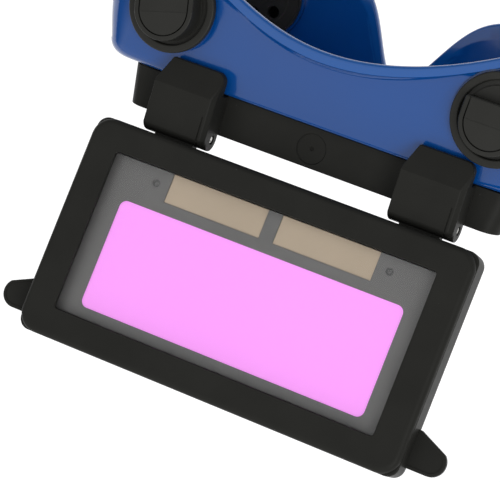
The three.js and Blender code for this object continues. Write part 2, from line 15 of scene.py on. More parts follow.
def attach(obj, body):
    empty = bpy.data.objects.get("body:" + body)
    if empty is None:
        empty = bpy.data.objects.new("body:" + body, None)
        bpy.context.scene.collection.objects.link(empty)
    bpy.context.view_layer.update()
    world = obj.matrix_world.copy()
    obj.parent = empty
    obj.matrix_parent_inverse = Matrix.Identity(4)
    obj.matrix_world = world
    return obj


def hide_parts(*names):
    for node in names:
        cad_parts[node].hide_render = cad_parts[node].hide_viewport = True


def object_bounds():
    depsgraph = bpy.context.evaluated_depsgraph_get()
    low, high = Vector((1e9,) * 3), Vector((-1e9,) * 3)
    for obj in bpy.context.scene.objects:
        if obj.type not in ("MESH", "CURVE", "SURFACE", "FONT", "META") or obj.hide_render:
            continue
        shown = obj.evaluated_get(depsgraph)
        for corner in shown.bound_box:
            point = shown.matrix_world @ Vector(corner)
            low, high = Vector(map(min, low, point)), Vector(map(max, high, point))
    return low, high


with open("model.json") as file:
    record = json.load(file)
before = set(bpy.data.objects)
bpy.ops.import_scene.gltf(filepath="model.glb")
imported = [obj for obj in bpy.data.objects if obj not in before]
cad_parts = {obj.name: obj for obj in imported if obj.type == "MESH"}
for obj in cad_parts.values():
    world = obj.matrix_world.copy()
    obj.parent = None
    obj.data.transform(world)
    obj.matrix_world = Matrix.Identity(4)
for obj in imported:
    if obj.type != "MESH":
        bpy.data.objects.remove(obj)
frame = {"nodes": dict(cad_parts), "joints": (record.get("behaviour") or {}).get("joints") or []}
CAD_BOX = [list(corner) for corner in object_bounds()]

MM = 0.001
UNTURNED = Matrix.Identity(4)
SIDES = {"left": -1, "right": 1}

JOINTS = {joint["name"]: joint for joint in frame["joints"]}
LIFT_JOINT = JOINTS["lift_front_hinge"]
PIN = Vector(LIFT_JOINT["pos_m"]) / MM
REST_LIFT = math.radians(-LIFT_JOINT["range_deg"][0])
# From the closed front, with the pin on its own X axis, to the front as it rests
LIFT = Matrix.Translation(PIN) @ Matrix.Rotation(-REST_LIFT, 4, "X")

# Shell, as the CAD holds it, but with a tighter upper bend and a top that slopes straight
WALL = 2.2
SHOULDER = {"x": 71.4, "top": 36.5, "bottom": 36.5, "radius": 9.0}
BEND_TOP, BEND_SIDE, BEND_FROM, BEND_TO = 1.4, 5.0, 40.0, 70.0
INNER_BEND = 0.1
RIM = {"x": 80.0, "top": 38.5, "bottom": 36.5, "radius": 24.0}
CROWN_RISE, CROWN_SPREAD = 6.5, 32.0
TEMPLE_DEPTH, TEMPLE_SPAN = 40.0, 85.0
CHEEK_MIDDLE, CHEEK_SIDE, CHEEK_SPAN = 15.0, 36.0, 80.0
NOSE_DEPTH, NOSE_WIDTH, NOSE_RISE, NOSE_SPREAD = 26.0, 13.0, 6.5, 14.0
BULGE_OUT, BULGE_UP = 2.9, 1.0
BEAD_MIDDLE, BEAD_START = -0.9, 3.4
LENS_WINDOW = {"x": 50.5, "top": 23.5, "bottom": 23.5, "radius": 2.0}
VENT_SEAT_RADIUS, VENT_CLEARING, VENT_HOLE = 13.2, 14.0, 11.7
VENT_SKIRT = 4.8
VENT_TWISTS = {"upper_left": 15.6}


# ---------- measuring the frame ----------

def node_box(name, turned=UNTURNED):
    """A CAD node's lowest and highest corners in mm, seen from a frame placed by `turned`."""
    back = turned.inverted()
    points = [back @ (vertex.co / MM) for vertex in frame["nodes"][name].data.vertices]
    low = Vector([min(point[i] for point in points) for i in range(3)])
    high = Vector([max(point[i] for point in points) for i in range(3)])
    return low, high


SHELL_FRONT = node_box("front_retainer")[1].y + 0.3


# ---------- outlines ----------

def arc(centre, radius, start, end, steps):
    """Points on an arc, angles in degrees."""
    angles = [math.radians(start + (end - start) * i / steps) for i in range(steps + 1)]
    return [(centre[0] + radius * math.cos(a), centre[1] + radius * math.sin(a)) for a in angles]


def rounded_rect(half_x, half_y, radius, middle=0.0, steps=10):
    x, y = half_x - radius, half_y - radius
    points = []
    for turn, (cx, cy) in enumerate([(x, -y), (x, y), (-x, y), (-x, -y)]):
        points += arc((cx, middle + cy), radius, 90 * turn - 90, 90 * turn, steps)
    return points


def box_outline(low, high, radius, steps=10):
    """A rounded rectangle between two corners."""
    half_x, half_y = (high[0] - low[0]) / 2, (high[1] - low[1]) / 2
    shift_x, shift_y = (high[0] + low[0]) / 2, (high[1] + low[1]) / 2
    return [(x + shift_x, y + shift_y) for x, y in rounded_rect(half_x, half_y, radius, steps=steps)]


# ---------- meshes ----------

def object_from(name, bm):
    bmesh.ops.recalc_face_normals(bm, faces=bm.faces)
    mesh = bpy.data.meshes.new(name)
    bm.to_mesh(mesh)
    bm.free()
    obj = bpy.data.objects.new(name, mesh)
    bpy.context.scene.collection.objects.link(obj)
    return obj


def prism(name, outline, low, high, axis):
    """A solid whose outline is drawn across an axis and runs from low to high along it."""
    order = {"X": (2, 0, 1), "Y": (0, 2, 1), "Z": (0, 1, 2)}[axis]
    bm = bmesh.new()
    ends = []
    for along in (low, high):
        points = [(u, v, along) for u, v in outline]
        ends.append([bm.verts.new([point[i] for i in order]) for point in points])
    near, far = ends
    bm.faces.new(near)
    bm.faces.new(far)
    for i in range(len(outline)):
        j = (i + 1) % len(outline)
        bm.faces.new((near[i], near[j], far[j], far[i]))
    return object_from(name, bm)


def lathe(name, profile, steps=96, turned=UNTURNED):
    """A solid turned about Z. The (radius, height) profile meets the axis or closes on itself."""
    bm = bmesh.new()
    rings = []
    for radius, height in profile:
        count = steps if radius > 0 else 1
        angles = [2 * math.pi * i / count for i in range(count)]
        ring = [bm.verts.new((radius * math.cos(a), radius * math.sin(a), height)) for a in angles]
        rings.append(ring)
    pairs = list(zip(rings, rings[1:]))
    if profile[0][0] > 0:
        pairs.append((rings[-1], rings[0]))
    for lower, upper in pairs:
        for i in range(steps):
            j = (i + 1) % steps
            corners = [lower[i % len(lower)], lower[j % len(lower)]]
            corners += [upper[j % len(upper)], upper[i % len(upper)]]
            unique = list(dict.fromkeys(corners))
            if len(unique) > 2:
                bm.faces.new(unique)
    bm.transform(turned)
    return object_from(name, bm)


def disc(name, radius, low, high, turned=UNTURNED, steps=96):
    return lathe(name, [(0, low), (radius, low), (radius, high), (0, high)], steps, turned)


def rod_x(name, radius, low, high, y, z, steps=64):
    turned = Matrix.Translation((0, y, z)) @ Matrix.Rotation(math.pi / 2, 4, "Y")
    return disc(name, radius, low, high, turned, steps)


def bake(obj):
    """Applies an object's modifiers to its mesh."""
    graph = bpy.context.evaluated_depsgraph_get()
    mesh = bpy.data.meshes.new_from_object(obj.evaluated_get(graph))
    old = obj.data
    obj.modifiers.clear()
    obj.data = mesh
    bpy.data.meshes.remove(old)
    return obj


def combine(obj, operation, *tools):
    for tool in tools:
        modifier = obj.modifiers.new("combine", "BOOLEAN")
        modifier.object = tool
        modifier.operation = operation
        modifier.solver = "MANIFOLD"
    bake(obj)
    for tool in tools:
        bpy.data.objects.remove(tool)
    return obj


def fuse(obj, *tools):
    return combine(obj, "UNION", *tools)


def cut(obj, *tools):
    return combine(obj, "DIFFERENCE", *tools)


def keep(obj, *tools):
    return combine(obj, "INTERSECT", *tools)


def clean(obj, merge=0.004):
    """Merges the stray points that cuts leave, then splits faces that are not convex."""
    bm = bmesh.new()
    bm.from_mesh(obj.data)
    bmesh.ops.remove_doubles(bm, verts=bm.verts, dist=merge)
    bmesh.ops.dissolve_degenerate(bm, edges=bm.edges, dist=merge)
    bmesh.ops.connect_verts_concave(bm, faces=[face for face in bm.faces if len(face.verts) > 4])
    bm.to_mesh(obj.data)
    bm.free()
    return obj


def soften(obj, width, segments=3, angle=32):
    """Rounds every edge sharper than the angle."""
    modifier = obj.modifiers.new("round", "BEVEL")
    modifier.width = width
    modifier.segments = segments
    modifier.limit_method = "ANGLE"
    modifier.angle_limit = math.radians(angle)
    modifier.use_clamp_overlap = False
    return bake(obj)


def round_where(obj, chosen, width, segments=5):
    """Rounds the edges that meet at an angle and whose two ends are both chosen."""
    bm = bmesh.new()
    bm.from_mesh(obj.data)
    sharp = math.radians(32)
    edges = [e for e in bm.edges if all(chosen(v.co) for v in e.verts) and e.calc_face_angle(0) > sharp]
    bmesh.ops.bevel(bm, geom=edges, offset=width, segments=segments, profile=0.5, affect="EDGES",
                    clamp_overlap=False)
    bm.to_mesh(obj.data)
    bm.free()
    return obj


def finish_mesh(obj, placed=UNTURNED, angle=38):
    """Moves a mesh into place in metres and gives it smooth shading between its real edges."""
    obj.data.transform(Matrix.Scale(MM, 4) @ placed)
    obj.data.update()
    obj.data.shade_smooth()
    obj.data.set_sharp_from_angle(angle=math.radians(angle))
    modifier = obj.modifiers.new("even shading", "WEIGHTED_NORMAL")
    modifier.keep_sharp = True
    return bake(obj)


def present(obj, body, slot, material, *nodes):
    """Gives a piece its material and its body, in place of the CAD nodes it stands for."""
    obj.data.materials.clear()
    obj.data.materials.append(material)
    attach(obj, body)
    if nodes:
        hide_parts(*nodes)
    return obj


# ---------- materials ----------

class Nodes:
    """A node tree with short calls for adding and joining nodes."""

    def __init__(self, tree):
        self.tree = tree

    def add(self, kind, inputs=None, **settings):
        node = self.tree.nodes.new(kind)
        for key, value in settings.items():
            setattr(node, key, value)
        for key, value in (inputs or {}).items():
            if isinstance(value, bpy.types.NodeSocket):
                self.tree.links.new(value, node.inputs[key])
            else:
                node.inputs[key].default_value = value
        return node

    def noise(self, scale, detail=3.0, roughness=0.5, where=None):
        where = where or self.add("ShaderNodeTexCoord").outputs["Object"]
        inputs = {"Vector": where, "Scale": scale, "Detail": detail, "Roughness": roughness}
        return self.add("ShaderNodeTexNoise", inputs).outputs["Fac"]

    def spread(self, value, low, high, from_low=0.0, from_high=1.0):
        inputs = {"Value": value, "From Min": from_low, "From Max": from_high, "To Min": low, "To Max": high}
        return self.add("ShaderNodeMapRange", inputs).outputs["Result"]

    def mix(self, share, first, second):
        node = self.add("ShaderNodeMix", data_type="RGBA")
        for key, value in (("Factor", share), ("A", first), ("B", second)):
            socket = next(s for s in node.inputs if s.name == key and s.enabled)
            if isinstance(value, bpy.types.NodeSocket):
                self.tree.links.new(value, socket)
            else:
                socket.default_value = value
        return next(s for s in node.outputs if s.enabled)

    def math(self, operation, first, second=0.0):
        return self.add("ShaderNodeMath", {0: first, 1: second}, operation=operation).outputs[0]

    def bump(self, height, strength, distance, under=None):
        inputs = {"Height": height, "Strength": strength, "Distance": distance}
        if under is not None:
            inputs["Normal"] = under
        return self.add("ShaderNodeBump", inputs).outputs["Normal"]


def material(name, **constants):
    """A new Principled material. Returns it with its nodes and its shader."""
    made = bpy.data.materials.new(name)
    made.use_nodes = True
    shader = made.node_tree.nodes["Principled BSDF"]
    for key, value in constants.items():
        shader.inputs[key.replace("_", " ")].default_value = value
    return made, Nodes(made.node_tree), shader


def link(nodes, shader, **sockets):
    for key, socket in sockets.items():
        nodes.tree.links.new(socket, shader.inputs[key.replace("_", " ")])


def rgb(red, green, blue):
    return (red, green, blue, 1.0)


def glossy_shell():
    """Soft blue PVC: glossy and faintly wavy, with a painted glow on the rolled rim for the light that shines
    through it.
    """
    made, n, shader = material("shell_pvc", Specular_IOR_Level=0.5, Coat_Weight=0.2, Coat_Roughness=0.05)
    rim_glow = n.add("ShaderNodeAttribute", attribute_name="rim_glow").outputs["Fac"]
    cloud = n.noise(28.0, 2.0)
    deep = n.mix(cloud, rgb(0.001, 0.052, 0.235), rgb(0.002, 0.061, 0.265))
    # Painted glow: the rim's colour is made lighter where light would shine through the thin rolled PVC
    colour = n.mix(n.math("MULTIPLY", rim_glow, 0.9), deep, rgb(0.004, 0.082, 0.32))
    scuffs = n.noise(900.0, 4.0, 0.7)
    waves = n.bump(n.noise(60.0, 1.0), 0.05, 0.004)
    grain = n.bump(n.noise(2600.0, 2.0), 0.05, 0.0002, waves)
    link(n, shader, Base_Color=colour, Roughness=n.spread(scuffs, 0.10, 0.19), Normal=grain)
    return made


def moulded(name, colour, rough, specular=0.28, grain=0.12, scale=2200.0):
    """Satin moulded plastic: fine grain, faint mottling and a little dust."""
    made, n, shader = material(name, Specular_IOR_Level=specular)
    mottle = n.noise(70.0, 3.0)
    darker = rgb(*[c * 0.82 for c in colour])
    lighter = rgb(*[c * 1.18 for c in colour])
    tone = n.mix(mottle, darker, lighter)
    where = n.add("ShaderNodeTexCoord").outputs["Object"]
    dust = n.add("ShaderNodeTexVoronoi", {"Vector": where, "Scale": 330.0})
    speck = n.math("LESS_THAN", dust.outputs["Distance"], 0.035)
    chosen = n.math("GREATER_THAN", n.noise(190.0, 1.0), 0.64)
    dusty = n.mix(n.math("MULTIPLY", speck, chosen), tone, rgb(0.10, 0.10, 0.095))
    worn = n.noise(480.0, 5.0, 0.65)
    fine = n.bump(n.noise(scale, 3.0, 0.6), grain, 0.00025)
    link(n, shader, Base_Color=dusty, Roughness=n.spread(worn, rough - 0.06, rough + 0.08), Normal=fine)
    return made


def clear_film(name, tint, haze=0.008):
    """Thin clear plastic: it shows what lies behind it, and reflects more at a glancing angle."""
    made, n, shader = material(name, Metallic=1.0)
    made.surface_render_method = "BLENDED"
    facing = n.add("ShaderNodeLayerWeight", {"Blend": 0.5}).outputs["Facing"]
    gloss = n.math("MULTIPLY", n.math("POWER", facing, 4.0), 0.45)
    smears = n.noise(45.0, 4.0, 0.6)
    veil = n.math("ADD", gloss, n.spread(smears, haze * 0.4, haze))
    colour = n.mix(smears, rgb(*tint), rgb(*[c * 0.95 for c in tint]))
    link(n, shader, Base_Color=colour, Alpha=veil, Roughness=n.spread(smears, 0.02, 0.06))
    return made


def printed_grey():
    """The grey print round the viewing area, seen through the filter's glass."""
    made, n, shader = material("filter_print", Specular_IOR_Level=0.4, Roughness=0.35)
    tone = n.mix(n.noise(22.0, 2.0), rgb(0.118, 0.118, 0.116), rgb(0.142, 0.139, 0.136))
    link(n, shader, Base_Color=tone, Normal=n.bump(n.noise(1500.0), 0.05, 0.0001))
    return made


def coated_shutter():
    """The shutter's interference coating, an even lilac, made brighter by a faint painted glow."""
    made, n, shader = material("shutter_coating", Specular_IOR_Level=0.3, Roughness=0.25)
    tone = n.mix(n.noise(18.0, 1.0), rgb(0.97, 0.335, 0.98), rgb(1.0, 0.36, 1.0))
    link(n, shader, Base_Color=tone)
    # Painted glow: the coating gives off a little light of its own, though it is no lamp
    shader.inputs["Emission Color"].default_value = rgb(0.98, 0.36, 0.98)
    shader.inputs["Emission Strength"].default_value = 0.15
    return made


def cell_surface():
    """Amorphous solar cell: beige brown, faintly mottled."""
    made, n, shader = material("solar_cell_surface", Specular_IOR_Level=0.4, Roughness=0.3)
    tone = n.mix(n.noise(90.0, 3.0), rgb(0.418, 0.337, 0.245), rgb(0.486, 0.390, 0.285))
    link(n, shader, Base_Color=tone)
    return made


def board_surface():
    made, n, shader = material("circuit_mask", Specular_IOR_Level=0.5)
    tone = n.mix(n.noise(600.0, 4.0), rgb(0.012, 0.09, 0.035), rgb(0.02, 0.14, 0.06))
    link(n, shader, Base_Color=tone, Roughness=n.spread(n.noise(800.0), 0.3, 0.5))
    return made


def metal(name, colour, rough):
    """Bright drawn steel with fine scratches."""
    made, n, shader = material(name, Metallic=1.0)
    scratches = n.noise(2400.0, 5.0, 0.7)
    tone = n.mix(scratches, rgb(*[c * 0.85 for c in colour]), rgb(*colour))
    roughness = n.spread(scratches, rough, rough + 0.15)
    link(n, shader, Base_Color=tone, Roughness=roughness, Normal=n.bump(scratches, 0.1, 0.0001))
    return made


def webbing():
    """Woven elastic: raised ribs along the strap, crossed by fine picks, with painted shade darkening the
    hollows of the weave. The UV map is in millimetres.
    """
    made, n, shader = material("elastic_webbing", Sheen_Weight=0.35, Sheen_Roughness=0.5,
                               Specular_IOR_Level=0.2)
    uv = n.add("ShaderNodeSeparateXYZ", {0: n.add("ShaderNodeUVMap", uv_map="strap").outputs["UV"]})
    length, across = uv.outputs["X"], uv.outputs["Y"]
    ribs = n.math("ABSOLUTE", n.math("SINE", n.math("MULTIPLY", across, math.pi / 1.55)))
    picks = n.math("ABSOLUTE", n.math("SINE", n.math("MULTIPLY", length, math.pi / 0.75)))
    weave = n.math("MULTIPLY", n.math("POWER", ribs, 0.6), n.spread(picks, 0.55, 1.0))
    fuzz = n.noise(3200.0, 3.0, 0.7)
    height = n.math("ADD", weave, n.math("MULTIPLY", fuzz, 0.25))
    # Painted shade: the colour follows the weave's height, darker in its hollows and lighter on the raised
    # ribs
    tone = n.mix(height, rgb(0.006, 0.006, 0.007), rgb(0.034, 0.034, 0.037))
    link(n, shader, Base_Color=tone, Roughness=n.spread(fuzz, 0.75, 0.95), Normal=n.bump(height, 0.7, 0.0004))
    return made


def thread():
    made, n, shader = material("stitch_thread", Sheen_Weight=0.4, Specular_IOR_Level=0.25)
    twist = n.noise(3800.0, 2.0)
    tone = n.mix(twist, rgb(0.03, 0.03, 0.032), rgb(0.10, 0.10, 0.105))
    link(n, shader, Base_Color=tone, Roughness=n.spread(twist, 0.6, 0.85), Normal=n.bump(twist, 0.4, 0.0001))
    return made


BLACK = moulded("black_moulding", (0.0195, 0.0195, 0.0175), 0.40, specular=0.05)
VENT_BLACK = moulded("vent_moulding", (0.0240, 0.0240, 0.0215), 0.36, specular=0.13)
HOUSING_GREY = moulded("housing_moulding", (0.12, 0.12, 0.118), 0.5)
SENSOR = moulded("sensor_lens", (0.105, 0.105, 0.104), 0.2, specular=0.5, grain=0.02)
SHELL = glossy_shell()
CLEAR = clear_film("clear_plate", (0.92, 0.95, 0.97))
GLASS = clear_film("filter_pane", (0.80, 0.80, 0.80), haze=0.006)
PRINT = printed_grey()
SHUTTER = coated_shutter()
CELL = cell_surface()
BOARD = board_surface()
STEEL = metal("drawn_steel", (0.62, 0.61, 0.59), 0.22)
BATTERY = metal("plated_steel", (0.56, 0.56, 0.55), 0.3)
ELASTIC = webbing()
THREAD = thread()


# ---------- shell ----------

SIDE_STEPS, CORNER_STEPS, FLAT_STEPS = 12, 18, 40
QUARTER = SIDE_STEPS + CORNER_STEPS + FLAT_STEPS
AROUND = 4 * QUARTER


def smoothstep(value, low, high):
    share = min(1.0, max(0.0, (value - low) / (high - low)))
    return share * share * (3 - 2 * share)


def lerp(first, second, share):
    return first + (second - first) * share


def loop_point(column, loop, inset):
    """A point on a rounded rectangle, the same share of each quarter going to side, corner and flat."""
    half_x, radius = loop["x"] - inset, loop["radius"] - inset
    quarter, within = divmod(column % AROUND, QUARTER)
    from_side = within if quarter % 2 == 0 else QUARTER - within
    height = (loop["top"] if quarter < 2 else loop["bottom"]) - inset
    if from_side <= SIDE_STEPS:
        x, z = half_x, (height - radius) * from_side / SIDE_STEPS
    elif from_side <= SIDE_STEPS + CORNER_STEPS:
        angle = (from_side - SIDE_STEPS) / CORNER_STEPS * math.pi / 2
        x = half_x - radius + radius * math.cos(angle)
        z = height - radius + radius * math.sin(angle)
    else:
        x, z = (half_x - radius) * (QUARTER - from_side) / FLAT_STEPS, height
    return (-x if quarter in (1, 2) else x), (z if quarter < 2 else -z)


def rim_point(column, inset):
    x, z = loop_point(column, RIM, inset)
    level = min(1.0, abs(z) / (RIM["top"] - RIM["radius"] / 2))
    if z > 0:
        z += level * CROWN_RISE * math.exp(-((x / CROWN_SPREAD) ** 2))
    else:
        z += level * NOSE_RISE * math.exp(-((x / NOSE_SPREAD) ** 2))
    return x, z


def rim_depth(column):
    """How far back the rim lies: forehead above, cheeks and the nose notch below."""
    x, z = rim_point(column, 0)
    forehead = TEMPLE_DEPTH * (1 - math.cos(math.pi / 2 * abs(x) / TEMPLE_SPAN))
    cheek = CHEEK_MIDDLE + (CHEEK_SIDE - CHEEK_MIDDLE) * (x / CHEEK_SPAN) ** 2
    notch = NOSE_DEPTH * math.exp(-((x / NOSE_WIDTH) ** 2))
    return lerp(forehead, cheek - notch, smoothstep(-z, -8, 24))


def bend_radius(column):
    """The bend from the front face into the side wall: tight above and below, wide at the temples."""
    x = loop_point(column, SHOULDER, 0)[0]
    return lerp(BEND_TOP, BEND_SIDE, smoothstep(abs(x), BEND_FROM, BEND_TO))


def side_point(column, along, inset):
    """A point on the side wall, from the shoulder (along = 0) to the rim (along = 1)."""
    near = loop_point(column, SHOULDER, inset)
    far = rim_point(column, inset)
    out = 1 - (1 - along) ** BULGE_OUT
    up = 1 - (1 - along) ** BULGE_UP
    start = max(bend_radius(column), inset + INNER_BEND)
    y = lerp(SHELL_FRONT + start, rim_depth(column), along)
    return lerp(near[0], far[0], out), y, lerp(near[1], far[1], up)


def bend_point(column, angle, inset):
    radius = max(bend_radius(column) - inset, INNER_BEND)
    x, z = loop_point(column, SHOULDER, inset + radius * (1 - math.sin(angle)))
    return x, SHELL_FRONT + inset + radius * (1 - math.cos(angle)), z


def bead_point(column, outward, back):
    x, z = rim_point(column, -outward)
    return x, rim_depth(column) + back, z


# The step out from the wall to the rim's flat band, as (outward, back)
BEAD_STEP = [(0.0, -2.7), (0.15, -2.62), (1.15, -2.5), (1.35, -2.35)]
BEAD_OUTER_CENTRE, BEAD_OUTER_RADIUS = (0.05, -0.6), 1.4
BEAD_INNER_CENTRE, BEAD_INNER_RADIUS = (-0.3, -0.65), 1.45


def wall_section(column):
    """The wall's section at one column: out at the front, back along the wall, round the rim and forward."""
    bends = [math.radians(90 * i / 8) for i in range(9)]
    depth = rim_depth(column) - SHELL_FRONT - bend_radius(column)
    wall_end = 1 - BEAD_START / depth
    shares = [wall_end * i / 26 for i in range(1, 27)]
    window_x, window_z = loop_point(column, LENS_WINDOW, 0)
    section = [(window_x, SHELL_FRONT, window_z)]
    section += [bend_point(column, angle, 0) for angle in bends]
    section += [side_point(column, share, 0) for share in shares]
    bead = [*BEAD_STEP, *arc(BEAD_OUTER_CENTRE, BEAD_OUTER_RADIUS, 0, 90, 8)]
    bead += arc(BEAD_INNER_CENTRE, BEAD_INNER_RADIUS, 90, 168, 8)
    section += [bead_point(column, out, back) for out, back in bead]
    section += [side_point(column, share, WALL) for share in reversed(shares)]
    section += [bend_point(column, angle, WALL) for angle in reversed(bends)]
    section.append((window_x, SHELL_FRONT + WALL, window_z))
    return section


def shell_skin():
    bm = bmesh.new()
    columns = [[bm.verts.new(point) for point in wall_section(column)] for column in range(AROUND)]
    for i, column in enumerate(columns):
        following = columns[(i + 1) % AROUND]
        for j in range(len(column)):
            k = (j + 1) % len(column)
            bm.faces.new((column[j], following[j], following[k], column[k]))
    return object_from("shell", bm)


def vent_frame(corner):
    """Where a vent's seat lies: its middle, and +Z pointing out of the shell."""
    position = Vector(JOINTS[f"vent_turn_{corner}"]["pos_m"]) / MM
    up = 1 if corner.startswith("upper") else -1
    cap_low, cap_high = node_box(f"vent_cap_{corner}")
    seat = cap_low.z + VENT_SKIRT if up > 0 else cap_high.z - VENT_SKIRT
    turned = Matrix.Translation((position.x, position.y, seat))
    return turned if up > 0 else turned @ Matrix.Rotation(math.pi, 4, "Y")


# How far the painted rim glow reaches, and where it fades out
RIM_GLOW_REACH = 3.0
RIM_GLOW_FADE = (-2.68, -2.56)
CORNERS = [f"{level}_{side}" for level in ("upper", "lower") for side in SIDES]
STUD_Y = JOINTS["headband_swing"]["pos_m"][1] / MM
STUD_BORE = 2.3
BOSS_ROOT, BOSS_RADIUS, BOSS_HEIGHT = 75.8, 7.0, 8.2
PIN_BORE = 1.45


def goggle_shell():
    shell = shell_skin()
    seats = []
    holes = []
    clearings = []
    for corner in CORNERS:
        at = vent_frame(corner)
        edge = arc((VENT_SEAT_RADIUS - 0.5, -0.5), 0.5, 0, 90, 5)
        seats.append(lathe("seat", [(0, -5.5), (VENT_SEAT_RADIUS, -5.5), *edge, (0, 0)], 128, at))
        clearings.append(disc("clearing", VENT_CLEARING, 0, 8, at, 128))
        holes.append(disc("hole", VENT_HOLE, -12, 9, at, 128))
    for side in SIDES.values():
        corner_round = 0.6
        crown = (BOSS_RADIUS - corner_round, BOSS_HEIGHT - corner_round)
        boss = arc(crown, corner_round, 0, 90, 5)
        root = Matrix.Translation((side * BOSS_ROOT, STUD_Y, 0)) @ Matrix.Rotation(side * math.pi / 2, 4, "Y")
        seats.append(lathe("stud_boss", [(0, 0), (BOSS_RADIUS, 0), *boss, (0, BOSS_HEIGHT)], 64, root))
        holes.append(disc("stud_hole", STUD_BORE, 1.6, 12, root, 48))
    lens_low, lens_high = node_box("clear_lens")
    collar_front = node_box("goggle_shell")[0].y
    collar = prism("collar", box_outline((lens_low.x, lens_low.z), (lens_high.x, lens_high.z), 2),
                   collar_front, SHELL_FRONT + 1, "Y")
    window = rounded_rect(LENS_WINDOW["x"], LENS_WINDOW["top"], LENS_WINDOW["radius"])
    opening = prism("opening", window, collar_front - 5, SHELL_FRONT + 5, "Y")
    fuse(shell, collar)
    cut(shell, *clearings, opening)
    fuse(shell, *seats)
    cut(shell, *holes)
    finish_mesh(shell, angle=42)
    mark_rim_glow(shell)
    return present(shell, "goggle_body", "shell_blue", SHELL, "goggle_shell")


def mark_rim_glow(shell):
    """Marks the points on the rolled rim, for the painted glow of light shining through it."""
    tree = kdtree.KDTree(AROUND)
    for column in range(AROUND):
        x, z = rim_point(column, 0)
        tree.insert(Vector((x, rim_depth(column) + BEAD_MIDDLE, z)) * MM, column)
    tree.balance()
    values = []
    for vertex in shell.data.vertices:
        column, distance = tree.find(vertex.co)[1:]
        back = vertex.co.y / MM - rim_depth(column)
        near_rim = distance < RIM_GLOW_REACH * MM
        values.append(smoothstep(back, *RIM_GLOW_FADE) if near_rim else 0.0)
    shell.data.attributes.new("rim_glow", "FLOAT", "POINT").data.foreach_set("value", values)


# ---------- retainer and clear lens ----------

def front_retainer():
    low, high = node_box("front_retainer")
    front_half = 59.0
    lens_pocket = {"x": 54.5, "z": 26.0, "radius": 2.3, "depth": 3.0}
    body = prism("retainer", rounded_rect(front_half, high.z, 5), low.y, high.y, "Y")
    for vertex in body.data.vertices:
        back = (vertex.co.y - low.y) / (high.y - low.y)
        vertex.co.x *= lerp(1, high.x / front_half, back)
    soften(body, 0.3, 3)
    pocket_outline = rounded_rect(lens_pocket["x"], lens_pocket["z"], lens_pocket["radius"])
    pocket = prism("pocket", pocket_outline, low.y + lens_pocket["depth"], high.y + 1, "Y")
    window = rounded_rect(LENS_WINDOW["x"], LENS_WINDOW["top"], LENS_WINDOW["radius"])
    opening = prism("opening", window, low.y - 1, high.y + 1, "Y")
    round_where(opening, lambda co: co.y < low.y, -0.6)
    middle = (low.y + high.y) / 2
    top = Matrix.Translation((0, middle - 0.4, high.z))
    gate_radius, gate_depth, nub_radius, nub_depth = 4.6, 0.4, 0.7, 0.9
    gate_side = [(gate_radius - 0.3, -gate_depth), (gate_radius, 0.02), (gate_radius, 1)]
    nub_side = [(0.3, 0.05 - nub_depth), (nub_radius, -gate_depth), (nub_radius, 0.6)]
    gate = lathe("gate", [(0, -gate_depth), *gate_side, (0, 1)], 96, top)
    nub = lathe("nub", [(0, -nub_depth), *nub_side, (0, 0.6)], 7, top)
    cut(body, pocket, opening, gate, nub)
    return present(finish_mesh(body), "goggle_body", "black_plastic", BLACK, "front_retainer")


def clear_lens():
    low, high = node_box("clear_lens")
    plate = prism("clear_lens_plate", box_outline((low.x, low.z), (high.x, high.z), 2), low.y, high.y, "Y")
    soften(plate, 0.3, 2)
    return present(finish_mesh(plate), "goggle_body", "clear_plastic", CLEAR, "clear_lens")


# ---------- hinge ----------

def bracket(side):
    node = f"hinge_bracket_{side}"
    low, high = node_box(node)
    nose = PIN.y - low.y
    half = (high.x - low.x) / 2
    cheek, crown_start, drop, lip, foot = 3.3, -23.2, 3.8, 2.0, -22.2
    profile = arc((PIN.y, PIN.z), nose, -90, -180, 12)
    curve_start = Vector((low.y, PIN.z))
    curve_pull = Vector((low.y + 0.4, high.z - 1.4))
    curve_end = Vector((PIN.y - 0.4, high.z))
    for i in range(1, 9):
        share = i / 8
        first = curve_start.lerp(curve_pull, share)
        profile.append(tuple(first.lerp(curve_pull.lerp(curve_end, share), share)))
    under = high.z - drop - lip
    profile += [(crown_start, high.z), (high.y, high.z - drop), (high.y, under), (foot, under), (foot, low.z)]
    body = prism(f"bracket_{side}", profile, -half, half, "X")
    chamfer_x, corner = -7.6, 2.8
    plan = [(-half - 1, low.y - 5), (half + 1, low.y - 5)]
    plan += [(half + 1, high.y - corner), (half, high.y - corner)]
    plan += arc((half - corner, high.y - corner), corner, 0, 90, 10)[1:]
    plan += [(chamfer_x, high.y), (-half, foot), (-half - 1, foot)]
    keep(body, prism("plan", plan, low.z - 5, high.z + 5, "Z"))

    def on_right_edge(co):
        return co.x > half - 0.1 and co.z > high.z - drop and co.y < high.y - corner

    round_where(body, on_right_edge, 1.3, 1)
    soften(body, 0.3, 4, 28)
    room, slot_crown = 4.1, 2.2
    slot_half = half - cheek
    seam_x = half - 2.2
    slot_outline = box_outline((low.y - 5, 20), (PIN.y + room, high.z - slot_crown), 0.8)
    slot = prism("slot", slot_outline, -slot_half, slot_half, "X")
    hole = rod_x("hole", PIN_BORE, -half - 1, half + 1, PIN.y, PIN.z)
    seam_side = [(low.y - 1, PIN.z - 6), (low.y - 1, high.z + 1), (PIN.y + 7.5, high.z + 1),
                 (PIN.y + 6.5, high.z - 0.3), (PIN.y - 1.0, high.z - 0.42),
                 (low.y + 0.75, PIN.z + 2.5), (low.y + 0.6, PIN.z - 6)]
    seam = prism("seam", seam_side, seam_x - 0.2, seam_x + 0.2, "X")
    cut(body, slot, hole, seam)
    placed = Matrix.Translation(((low.x + high.x) / 2, 0, 0))
    return present(finish_mesh(body, placed, 25), "goggle_body", "black_plastic", BLACK, node)


